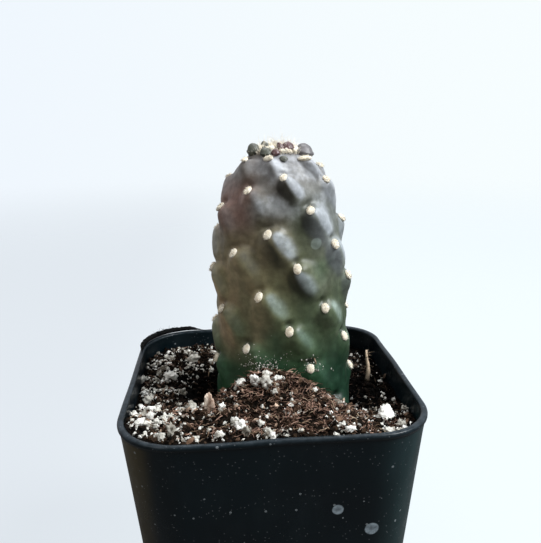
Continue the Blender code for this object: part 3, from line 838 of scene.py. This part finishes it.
def pot_look():
    look = Look("pot plastic", 0.3, 0.2)
    base = look.ramp(look.noise(28, 3), (0.35, (0.0012, 0.0040, 0.0062)), (0.65, (0.0022, 0.0075, 0.0105)))
    haze = look.span(look.noise(75, 5, 0.6, stretch=(1, 1, 0.4)), 0.45, 0.8, 0.0, 0.05)
    colour = look.mix(haze, base, (0.12, 0.16, 0.18))
    # Painted reflections: a warm one on the left front corner and a cooler one on the right, in streaks below
    # the rim.
    wide, deep, high = look.axis("X"), look.axis("Y"), look.axis("Z")
    below_rim = look.span(high, (POT_HEIGHT - 1.4) * MM, (POT_HEIGHT - 3) * MM)
    streaks = look.span(look.noise(90, 4, 0.6, stretch=(1, 1, 0.15)), 0.3, 0.7, 0.5, 1.0)
    near = look.times(look.span(deep, -20 * MM, -30 * MM), below_rim, streaks)
    corner_reflections = ((-31, -38, 0.45, (0.13, 0.092, 0.022)), (22, 36, 0.24, (0.030, 0.100, 0.100)))
    for start, end, amount, tint in corner_reflections:
        colour = look.mix(look.times(look.span(wide, start * MM, end * MM), near, amount), colour, tint)
    # Partly wear and partly painted highlight: a pale line along the top of the rim.
    worn_and_highlight = look.span(high, (POT_HEIGHT - 1.3) * MM, (POT_HEIGHT - 0.3) * MM, 0.0, 0.12)
    worn_and_highlight = look.times(worn_and_highlight, look.span(look.noise(500, 5, 0.6), 0.3, 0.7, 0.2, 1.2))
    colour = look.mix(worn_and_highlight, colour, (0.16, 0.20, 0.24))
    # Short level scuffs, then dust specks, coarse and fine
    scuff = look.span(look.noise(420, 4, 0.6, stretch=(0.35, 0.35, 2.2)), 0.66, 0.76)
    scuff = look.times(scuff, look.span(look.noise(45, 3), 0.5, 0.7), 0.14)
    colour = look.mix(scuff, colour, (0.30, 0.38, 0.42))
    for scale, size, kept, amount, tint in (
        (330, 0.12, 0.62, 0.34, (0.5, 0.55, 0.58)), (900, 0.16, 0.5, 0.14, (0.5, 0.52, 0.55)),
    ):
        speck = look.math("LESS_THAN", look.cells(scale), size)
        keep = look.math("GREATER_THAN", look.cells(scale, "Color"), kept)
        colour = look.mix(look.times(speck, keep, amount), colour, tint)
    # Two dried drops low on the front
    film = look.span(look.noise(900, 4, 0.6), 0.3, 0.7, 0.35, 0.85)
    for (x, y, z), radius in (((15.2, -38.9, 59.6), 1.95), ((24.5, -38.4, 52.6), 2.2)):
        inner = look.spot((x + 0.3, y, z + 0.3), radius * 0.72, 0.4)
        drop = look.times(look.spot((x, y, z), radius, 0.15), film, look.less(look.times(inner, 0.35)))
        colour = look.mix(drop, colour, (0.40, 0.48, 0.54))
    rough = look.span(look.noise(120, 5, 0.6), 0.3, 0.7, 0.26, 0.40)
    normal = look.bump(look.noise(55, 3, 0.5), 0.25, 0.25, look.bump(look.noise(2200, 3), 0.02, 0.4))
    return look.finish(colour, rough, normal)


# ---- Potting mix -----------------------------------------------------------------------


MIX_LEVEL = 5.0  # the mix lies about this far below the rim
STREW = 42.0  # grains are tried this far from the middle, fibres one less


def mix_height(x, y):
    """Height of the mix above the rim, as the CAD solid has it."""
    front = smoothstep((-y - 6.0) / 26.0)
    right = smoothstep((x - 17.0) / 15.0)
    level = -6.0 + 5.0 * front * (1.0 - 0.5 * right) - 2.0 * right
    heap = 11.2 * np.exp(-((np.abs(x + 0.5) / 14.5) ** 2.6) - ((y + 19.0) / 9.5) ** 2)
    hollow = 8.0 * np.exp(-(((x + 19.5) / 6.5) ** 2) - ((y - 4.0) / 11.0) ** 2)
    dip = 7.0 * np.exp(-(((x - 26.5) / 5.0) ** 2) - ((y + 2.0) / 12.0) ** 2)
    return level + heap - hollow - dip


def surface_height(x, y):
    """The mix with its small lumps and hollows."""
    lumps_now = noise.noise(Vector((x * 0.22, y * 0.22, 3.0))) * 0.9
    lumps_now += noise.noise(Vector((x * 0.6, y * 0.6, 8.0))) * 0.5
    return float(mix_height(x, y)) + lumps_now


def stem_reach(x, y, extra=0.0):
    """Below 1 where a point at mix level is inside the stem grown by extra."""
    height = float(mix_height(x, y))
    wide = float(core_half_width(height)) + 1.0 + extra
    dx = x - STEM_PLACE[0] - STEM_LEAN[0] * height
    dy = y - STEM_PLACE[1] - STEM_LEAN[1] * height
    return math.hypot(dx / wide, dy / (wide * STEM_DEPTH_SHARE + 0.4))


def mix_half(margin):
    """Half the width of the pot's inside at the mix, less a margin."""
    return float(inner_half(POT_HEIGHT - MIX_LEVEL)) - margin


def inside_pot(x, y, margin):
    half = mix_half(margin)
    radius = half * CORNER_SHARE
    flat = half - radius
    dx, dy = max(abs(x) - flat, 0.0), max(abs(y) - flat, 0.0)
    return math.hypot(dx, dy) < radius and max(abs(x), abs(y)) < half


def make_mix_bed(material):
    """The dark fine bed that the grains lie in."""
    shares = np.linspace(0.02, 1.0, 78)
    loop = rounded_square(1.0, 22, 20)
    columns = len(loop)
    half_top = float(inner_half(POT_HEIGHT - 3.0)) - 0.1
    rings = []
    for share in shares:
        flat = loop * (half_top * share)
        high = np.array([surface_height(x, y) for x, y in flat]) + POT_HEIGHT
        grain = np.array([noise.noise(Vector((x * 1.6, y * 1.6, 1.0))) for x, y in flat])
        high += 0.55 * grain
        reach = (np.array([float(inner_half(min(h, POT_HEIGHT))) for h in high]) - 0.05) * share
        rings.append(np.column_stack([loop * reach[:, None], high]))
    low = FOOT_HEIGHT + FLOOR + 0.1
    for lift, inset in ((1.4, 0.0), (0.0, 1.6)):
        half = float(inner_half(low + lift)) - 0.1 - inset
        rings.append(np.column_stack([loop * half, np.full(columns, low + lift)]))
    ends = [(0, 0, surface_height(0, 0) + POT_HEIGHT), (0, 0, low)]
    points, tris, quads = capped(rings, ends, flip=True)
    new_piece("mix_bed", points, (quads, tris), material, ("potting_mix",))


def scatter(name, count, shapes, size, spread, material, slot, seed, sink, replaces=(), smooth=True,
            fixed=()):
    """Grains strewn over the mix. size gives a radius from the random source, and spread says how
    likely a grain is at a place. fixed adds grains at chosen places."""
    rng = np.random.default_rng(seed)
    gathered = Heap()
    placed = list(fixed)
    tries = 0
    while len(placed) < count + len(fixed) and tries < count * 40:
        tries += 1
        x, y = rng.uniform(-STREW, STREW, 2)
        if not inside_pot(x, y, 0.8) or stem_reach(x, y) < 1.0 or rng.random() > spread(x, y):
            continue
        placed.append((x, y, size(rng)))
    for x, y, radius in placed:
        points, tris = shapes[rng.integers(len(shapes))]
        points = (points * radius) @ turned(rng).T
        high = surface_height(x, y) + POT_HEIGHT + radius * (1 - 2 * sink) * rng.uniform(0.5, 1.0)
        gathered.add(points + [x, y, high], tris, shade=rng.random())
    gathered.piece(name, material, slot, replaces, smooth)


def strands(name, count, length, thick, spread, material, slot, seed):
    """Thin bent fibres lying on and in the mix."""
    rng = np.random.default_rng(seed)
    gathered = Heap()
    made = 0
    while made < count:
        x, y = rng.uniform(1 - STREW, STREW - 1, 2)
        if not inside_pot(x, y, 2.0) or stem_reach(x, y, 0.5) < 1.0 or rng.random() > spread(x, y):
            continue
        made += 1
        span = rng.uniform(*length)
        angle = rng.uniform(0, 2 * math.pi)
        pitch = rng.normal(0.12, 0.25)
        aim = np.array([math.cos(angle), math.sin(angle), pitch])
        t = np.linspace(-0.5, 0.5, 8)[:, None]
        sway = rng.normal(0, 0.22, 3) * span
        sway[2] = -abs(sway[2]) * 0.8
        path = np.array([x, y, surface_height(x, y) + POT_HEIGHT + rng.uniform(0.1, 0.6) + 0.3])
        path = path + aim * span * t + sway * (4 * t**2) * 0.5 + 0.03 * span * np.sin(9 * t + angle)
        for point in path:
            if not inside_pot(point[0], point[1], 0.6):
                point[:2] *= 0.97 * min(1.0, mix_half(0.6) / max(abs(point[0]), abs(point[1])))
        radius = rng.uniform(*thick)
        taper = 1 - 0.6 * np.abs(2 * t[:, 0]) ** 2
        points, tris, quads = tube(path, radius * taper, 3, angle)
        gathered.add(points, tris, quads, rng.random())
    gathered.piece(name, material, slot)


MIX_SHINE = 0.06  # The dry mix hardly shines.


def peat_look():
    look = Look("peat", 0.95, MIX_SHINE)
    tone = look.ramp(
        look.math("ADD", look.times(look.noise(500, 5, 0.6), 0.6), look.times(look.mask("shade"), 0.4)),
        (0.25, (0.003, 0.0025, 0.002)), (0.5, (0.011, 0.0075, 0.005)), (0.66, (0.036, 0.022, 0.014)),
        (0.85, (0.11, 0.075, 0.05)),
    )
    return look.finish(look.deep(tone), None, look.bump(look.noise(1400, 5, 0.7), 0.35, 1.0))


def bed_look():
    look = Look("peat bed", 0.98, MIX_SHINE)
    tone = look.ramp(look.noise(700, 6, 0.7), (0.35, (0.002, 0.002, 0.0016)), (0.55, (0.007, 0.005, 0.004)),
                     (0.78, (0.03, 0.02, 0.014)))
    return look.finish(look.deep(tone), None, look.bump(look.noise(900, 6, 0.75), 0.6, 1.0))


def grain_look(name, tones, rough, bump=0.2, low=0.12, depth=(-2.0, -7.5)):
    """A grain's look, from three tones: dark, middle and light. low is what the painted shade deep in the pot
    leaves of them.
    """
    look = Look(name, rough, MIX_SHINE)
    mixed = look.math("ADD", look.times(look.noise(1100, 5, 0.6), 0.55), look.times(look.mask("shade"), 0.45))
    tone = look.ramp(mixed, *zip((0.25, 0.5, 0.75), tones))
    return look.finish(look.deep(tone, *depth, low), None, look.bump(look.noise(2100, 5, 0.7), bump, 0.9))


def make_mix():
    peat, bed = peat_look(), bed_look()
    white = grain_look("perlite", ((0.16, 0.14, 0.11), (0.66, 0.64, 0.58), (0.95, 0.94, 0.90)), 0.9, 0.3, 0.2,
                       (-5.0, -12.0))
    coir = grain_look("coir", ((0.010, 0.006, 0.005), (0.105, 0.058, 0.040), (0.52, 0.33, 0.25)), 0.85)
    straw = grain_look("straw", ((0.10, 0.065, 0.04), (0.30, 0.21, 0.14), (0.66, 0.52, 0.38)), 0.85)
    chip = grain_look("chip", ((0.06, 0.035, 0.022), (0.22, 0.135, 0.09), (0.62, 0.46, 0.35)), 0.9, 0.3)
    bark = grain_look("pale bark", ((0.16, 0.10, 0.07), (0.48, 0.34, 0.26), (0.80, 0.68, 0.57)), 0.9,
                      0.35, 1.0)
    make_mix_bed(bed)
    rough = lumps(18, 3, 0.85, 2.0, 0.3, 5)
    crumbs = lumps(20, 1, 0.7, 1.9, 0.35, 6)
    bits = lumps(10, 1, 0.6, 1.8, 0.35, 7)
    flakes = [(p * [1.0, 0.5, 0.25], t) for p, t in lumps(12, 1, 0.6, 1.5, 0.25, 8)]

    def everywhere(x, y):
        return 1.0

    def near_to(x, y, at_x, at_y, wide, deep):
        return math.exp(-(((x - at_x) / wide) ** 2) - ((y - at_y) / deep) ** 2)

    def mound(x, y):
        return near_to(x, y, 4, -25, 16, 11)

    def pale(x, y):
        left = 1 / (1 + math.exp((x + 21) / 3.5))
        front = 1 / (1 + math.exp((y + 27) / 4)) * (0.75 if x < 8 else 0.4)
        top = near_to(x, y, -4, -19, 7, 5)
        corner = near_to(x, y, 32, -26, 7, 9)
        share = max(0.58 * left, 0.55 * front, 0.95 * top, 0.7 * corner, 0.10)
        share *= min(1.0, max(0.08, 0.45 + 1.9 * noise.noise(Vector((x * 0.22, y * 0.22, 20.0)))))
        return share * (1 - 0.97 * near_to(x, y, -19, 6, 9, 14)) * (1 - 0.6 * near_to(x, y, 8, -26, 9, 6))

    def tufts(x, y):
        return max(0.0, 0.5 + 1.6 * noise.noise(Vector((x * 0.3, y * 0.3, 40.0))))

    scatter("peat_crumbs", 5200, crumbs, lambda r: 0.28 + 0.62 * r.random() ** 2, everywhere, peat,
            "peat_mix", 31, 0.3, smooth=False)
    scatter("peat_bits", 6500, bits, lambda r: r.uniform(0.13, 0.34), everywhere, peat,
            "peat_mix", 32, 0.1, smooth=False)
    scatter("perlite_small", 2900, bits, lambda r: 0.12 + 0.50 * r.random() ** 2.5, pale, white,
            "perlite_grain", 33, 0.0, smooth=False)
    # Grains at chosen places: (x, y, radius)
    big = (
        (-27, -35, 1.5), (-36, -29, 1.4), (-31, -30, 1.1), (-34, -23, 1.1), (-31, 11, 1.7), (-27, 3, 1.2),
        (-24, 25, 1.6), (-2, -24, 1.8), (-5, -23, 1.4), (-9, -21, 1.1), (-23, -16, 1.3), (32, -23, 2.0),
        (30, -33, 1.2), (18, -24, 1.1), (-8, -37, 1.2), (28, -3, 1.0), (1, -22.5, 1.2), (-27, -9, 1.0),
    )
    large = tuple(f"perlite_{n:02d}" for n in range(1, 5))
    scatter("perlite_large", 210, rough, lambda r: 0.45 + 0.65 * r.random() ** 2.4, pale, white,
            "perlite_grain", 34, 0.1, replaces=large, fixed=big)
    scatter("bark_flakes", 260, flakes, lambda r: r.uniform(0.5, 1.5), lambda x, y: 0.2 + 0.8 * mound(x, y),
            chip, "pale_bark", 35, 0.15, smooth=False)
    for name, count, length, thick, spread, material, slot, seed in (
        ("coir_short", 2300, (0.9, 3.2), (0.08, 0.2), lambda x, y: (0.12 + mound(x, y)) * tufts(x, y), coir,
         "peat_mix", 36),
        ("coir_fibres", 420, (3.0, 8.0), (0.06, 0.13), lambda x, y: 0.08 + mound(x, y), coir, "peat_mix", 38),
        ("straw_fibres", 420, (1.2, 5.0), (0.07, 0.17), lambda x, y: 0.35 + 0.65 * mound(x, y), straw,
         "pale_bark", 37),
    ):
        strands(name, count, length, thick, spread, material, slot, seed)
    return white, straw, bark


# ---- Small loose things ----------------------------------------------------------------


def make_bark_chip(material):
    low, high = (np.array(corner[:]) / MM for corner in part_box("bark_chip"))
    centre, span = (low + high) / 2, high - low
    rng = np.random.default_rng(44)
    base, tris = icosphere(4)
    gathered = Heap()
    # Splinters lying against each other: (across, along, half width, half height, lean)
    for across, along, wide, tall, lean in (
        (-0.22, 0.10, 0.17, 0.36, 0.12), (-0.02, 0.0, 0.20, 0.46, 0.05), (0.18, -0.14, 0.16, 0.34, -0.08),
        (0.05, 0.16, 0.13, 0.30, -0.16),
    ):
        offset = Vector(rng.random(3) * 20)
        points = []
        for p in base:
            v = Vector([math.copysign(abs(c) ** 0.55, c) for c in p])
            ridge = 0.14 * noise.noise(Vector((v.x * 5, v.y * 5, v.z)) + offset)
            lump = 0.30 * noise.noise(Vector(p) * 1.9 + offset)
            v = v * (1 + ridge + lump)
            points.append(((v.x * wide + across + lean * v.z * tall), v.y * 0.30, v.z * tall + along))
        gathered.add(np.array(points) * span + centre - [0, 0, 0.6], tris, shade=rng.uniform(0.3, 1.0))
    gathered.piece("bark_piece", material, "pale_bark", ("bark_chip",))


def make_rim_scrap(material):
    """A dry dark flap lying over the rim's back left corner, thin, with a ragged top edge."""
    half, radius = POT_WIDTH / 2 - RIM_WIDTH / 2, POT_WIDTH / 2 * CORNER_SHARE
    centre = np.array((-half + radius, half - radius))

    def over_corner(share, out, high):
        angle = math.radians(190 - 116 * share)
        return (*(centre + np.array((math.cos(angle), math.sin(angle))) * out), POT_HEIGHT + high)

    steps, sides = 90, 10
    rings = []
    for step in range(steps + 1):
        share = step / steps
        swell = min(1.0, 0.35 + 1.3 * math.sin(math.pi * min(1.0, share * 1.04)) ** 0.9)
        end = float(smoothstep(share / 0.10) * smoothstep((1 - share) / 0.14))
        ragged = 0.35 * noise.noise(Vector((share * 26, 0, 0)))
        ragged += 0.2 * noise.noise(Vector((share * 70, 4, 0)))
        tall = (0.15 + (1.25 + 0.45 * math.sin(math.pi * share * 1.2) + ragged) * swell) * end + 0.04
        wide = 0.12 + 0.75 * swell * end
        for side in range(sides):
            a = 2 * math.pi * side / sides
            out = radius + wide * math.cos(a) + 0.15 * noise.noise(Vector((share * 30, side, 2)))
            rings.append(over_corner(share, out, 0.02 + tall * (0.5 + 0.5 * math.sin(a))))
    rings = np.reshape(rings, (steps + 1, sides, 3))
    gathered = Heap()
    gathered.add(*capped(rings, [rings[0].mean(axis=0), rings[-1].mean(axis=0)]), shade=0.3)
    rng = np.random.default_rng(8)
    for _ in range(26):
        root = over_corner(rng.normal(0.52, 0.05), radius, 1.2)
        aim = Vector(rng.normal(0, 0.6, 3)) + Vector((0, 0, 1))
        gathered.add(*hair(root, aim.normalized(), rng.uniform(0.8, 2.0), 0.08, rng), shade=0.5)
    gathered.piece("rim_scrap_flap", material, "dark_bark", ("rim_scrap",))


def scrap_look():
    look = Look("dark scrap", 0.9, 0.1)
    tone = look.ramp(look.noise(400, 5), (0.3, (0.002, 0.0025, 0.003)), (0.7, (0.009, 0.009, 0.009)))
    return look.finish(tone, None, look.bump(look.noise(1300, 5, 0.7), 0.25, 1.0))


def make_splinters(material, white):
    """Dry bits caught on the stem and a thin root that stands up at the right."""
    gathered = Heap()
    rng = np.random.default_rng(51)
    for number, side, start, length, lean, radius in (
        (36, 1.7, 1.2, 5.0, -0.25, 0.28), (37, -1.9, -3.5, 4.5, 0.1, 0.20),
        (37, -2.2, -7.5, 4.0, -0.15, 0.17),
    ):
        place, right, up, normal = stem.areole_frame(number)
        foot = place + right * side + up * start + normal * 0.45
        t = np.linspace(0, 1, 9)[:, None]
        path = np.array(foot) + np.array(up + right * lean) * length * t + np.array(normal) * 0.3 * t
        path = path + rng.normal(0, 0.06, path.shape)
        gathered.add(*tube(path, radius * (1 - 0.5 * np.abs(2 * t[:, 0] - 0.8)), 5), shade=0.5)
    foot, top = np.array((33.6, 6.5, POT_HEIGHT - 8.0)), np.array((35.0, 11.5, POT_HEIGHT + 1.0))
    t = np.linspace(0, 1, 16)[:, None]
    path = foot + (top - foot) * t + np.array((0.5, 0.2, 0.0)) * np.sin(t * 5)
    gathered.add(*tube(path, 0.85 - 0.5 * t[:, 0], 6), shade=0.9)
    for _ in range(70):
        spot = foot + (top - foot) * rng.random() ** 2.2
        aim = Vector(rng.normal(0, 1, 3)).normalized()
        gathered.add(*hair(spot, aim, rng.uniform(0.5, 1.7), 0.06, rng), shade=rng.uniform(0.2, 0.9))
    gathered.piece("dry_splinters", material, "pale_bark")
    dust_and_sheen, bits = Heap(), lumps(6, 1, 0.4, 1.4, 0.3, 9)
    spots = []
    for _ in range(260):
        kind = rng.random()
        if kind < 0.6:
            turn, high = rng.normal(-0.34, 0.15), 7.4 + abs(rng.normal(0, 2.0))
        elif kind < 0.82:
            turn, high = rng.normal(0.36, 0.08), 6.0 + abs(rng.normal(0, 2.5))
        else:
            turn, high = rng.normal(-0.1, 0.5), 4.0 + abs(rng.normal(0, 7.0))
        spots.append((turn, stem.way_down(high)))
    places, _, _, normals = stem.frames(*np.array(spots).T)
    for place, normal in zip(places, normals):
        points, tris = bits[rng.integers(len(bits))]
        size = 0.07 + 0.17 * rng.random() ** 2.5
        dust_and_sheen.add(points * size @ turned(rng).T + place + normal * size * 0.5, tris, shade=rng.random())
    dust_and_sheen.piece("perlite_dust", white, "perlite_grain")


# ---- Stage, light and camera -----------------------------------------------------------

CAMERA_AZIMUTH, CAMERA_ELEVATION, CAMERA_ROLL = -4.51, 14.28, -0.957
CAMERA_DISTANCE, CAMERA_LENS = 182.35, 40.09
AIM_RIGHT, AIM_ABOVE_RIM = 1.65, 32.4
LIGHT_AIM_HEIGHT = 110.0
FLOOR_RADIUS = 2600.0


def view_axes(azimuth, elevation):
    a, e = math.radians(azimuth), math.radians(elevation)
    back = Vector((math.sin(a) * math.cos(e), -math.cos(a) * math.cos(e), math.sin(e)))
    right = Vector((math.cos(a), math.sin(a), 0.0))
    return back, right, back.cross(right)


def make_camera():
    back, right, up = view_axes(CAMERA_AZIMUTH, CAMERA_ELEVATION)
    roll = math.radians(CAMERA_ROLL)
    across = right * math.cos(roll) + up * math.sin(roll)
    upward = up * math.cos(roll) - right * math.sin(roll)
    aim = right * AIM_RIGHT + Vector((0, 0, POT_HEIGHT + AIM_ABOVE_RIM))
    data = bpy.data.cameras.new("camera")
    data.sensor_width, data.lens = 36.0, CAMERA_LENS
    data.clip_start, data.clip_end = 0.01, 20.0
    camera = add_object("camera", data)
    turn = Matrix((across, upward, back)).transposed().to_4x4()
    camera.matrix_world = Matrix.Translation((aim + back * CAMERA_DISTANCE) * MM) @ turn
    bpy.context.scene.camera = camera


def add_light(name, azimuth, elevation, distance, size, power, colour):
    """A soft round light. Azimuth 0 is the camera's side, 90 the right."""
    back, _, _ = view_axes(azimuth, elevation)
    data = bpy.data.lights.new(name, "AREA")
    data.shape, data.size, data.energy, data.color = "DISK", size * MM, power, colour
    lamp = add_object(name, data)
    lamp.location = (Vector((0, 0, LIGHT_AIM_HEIGHT)) + back * distance) * MM
    lamp.rotation_euler = back.to_track_quat("Z", "Y").to_euler()


def make_stage():
    """A pale round floor that fades out far away. The camera sees its glow, the part a dim grey."""
    mesh = bpy.data.meshes.new("floor")
    build = bmesh.new()
    angles = [2 * math.pi * n / 96 for n in range(96)]
    radius = FLOOR_RADIUS * MM
    build.faces.new([build.verts.new((radius * math.cos(a), radius * math.sin(a), 0)) for a in angles])
    build.to_mesh(mesh)
    build.free()
    look = Look("pale floor", 0.9)
    look.finish(look.ramp(look.noise(3, 3), (0.3, (0.050, 0.052, 0.054)), (0.7, (0.054, 0.056, 0.058))))
    light = look.mix(look.span(look.axis("X"), -0.12, 0.10), (0.67, 0.72, 0.77), (0.80, 0.88, 0.92))
    glow = look.made("ShaderNodeEmission", (("Color", light), ("Strength", 1.0)))
    seen = look.made("ShaderNodeAddShader", ((0, look.shader.outputs[0]), (1, glow)))
    dim = look.made("ShaderNodeBsdfDiffuse", (("Color", (0.14, 0.14, 0.14)),))
    ground = look.blend(look.seen_by_camera(), dim, seen)
    far = look.made("ShaderNodeVectorMath", ((0, look.place),), "Value", operation="LENGTH")
    ground = look.blend(look.span(far, 0.35, 1.6), ground, look.made("ShaderNodeBsdfTransparent", ()))
    look.feed(look.tree.nodes["Material Output"].inputs["Surface"], ground)
    mesh.materials.append(look.material)
    add_object("floor", mesh)


def make_world():
    """A bright room: white behind and above, dim on the camera's side, warm and low at the left."""
    world = bpy.data.worlds.new("studio")
    bpy.context.scene.world = world
    world.use_nodes = True
    world.node_tree.nodes.clear()
    sky = Nodes(world.node_tree)
    split = sky.node("ShaderNodeSeparateXYZ")
    sky.feed(split.inputs[0], sky.node("ShaderNodeTexCoord").outputs["Generated"])
    x, y, z = (split.outputs[axis] for axis in "XYZ")
    side = sky.mix(sky.span(x, -0.75, 0.85), (0.15, 0.125, 0.095), (0.21, 0.26, 0.28))
    lit = sky.mix(sky.span(y, -0.35, 0.6), side, (0.92, 0.95, 1.0))
    lit = sky.mix(sky.span(z, 0.3, 0.95), lit, (0.55, 0.58, 0.62))
    seen = sky.mix(sky.span(x, -0.6, 0.5), (0.86, 0.92, 0.99), (0.925, 0.985, 1.0))
    room = sky.made("ShaderNodeBackground", (("Color", lit), ("Strength", 0.75)))
    sight = sky.made("ShaderNodeBackground", (("Color", seen), ("Strength", 1.0)))
    surface = sky.blend(sky.seen_by_camera(), room, sight)
    sky.feed(sky.node("ShaderNodeOutputWorld").inputs["Surface"], surface)


def main():
    wool = wool_look()
    make_stem(stem_look())
    nodes = areole_nodes()
    for count, number in enumerate(SHOWN, start=1):
        make_areole(count, number, wool, nodes.get(number))
    olive = leaf_look("olive leaf", (0.085, 0.092, 0.070))
    red = leaf_look("red leaf", (0.11, 0.045, 0.045))
    make_crown(wool, olive, red, leaf_look("pale leaf", (0.17, 0.16, 0.165)))
    make_pot(pot_look())
    white, straw, bark = make_mix()
    make_bark_chip(bark)
    make_rim_scrap(scrap_look())
    make_splinters(straw, white)
    make_stage()
    make_world()
    add_light("key", 68, 46, 700, 330, 7.0, (0.95, 0.98, 1.0))
    add_light("top", 170, 68, 800, 500, 2.5, (0.97, 0.98, 1.0))
    add_light("fill", -48, 42, 800, 500, 1.35, (1.0, 0.97, 0.93))
    make_camera()
    view = bpy.context.scene.view_settings
    view.view_transform, view.look = "Standard", "None"


main()
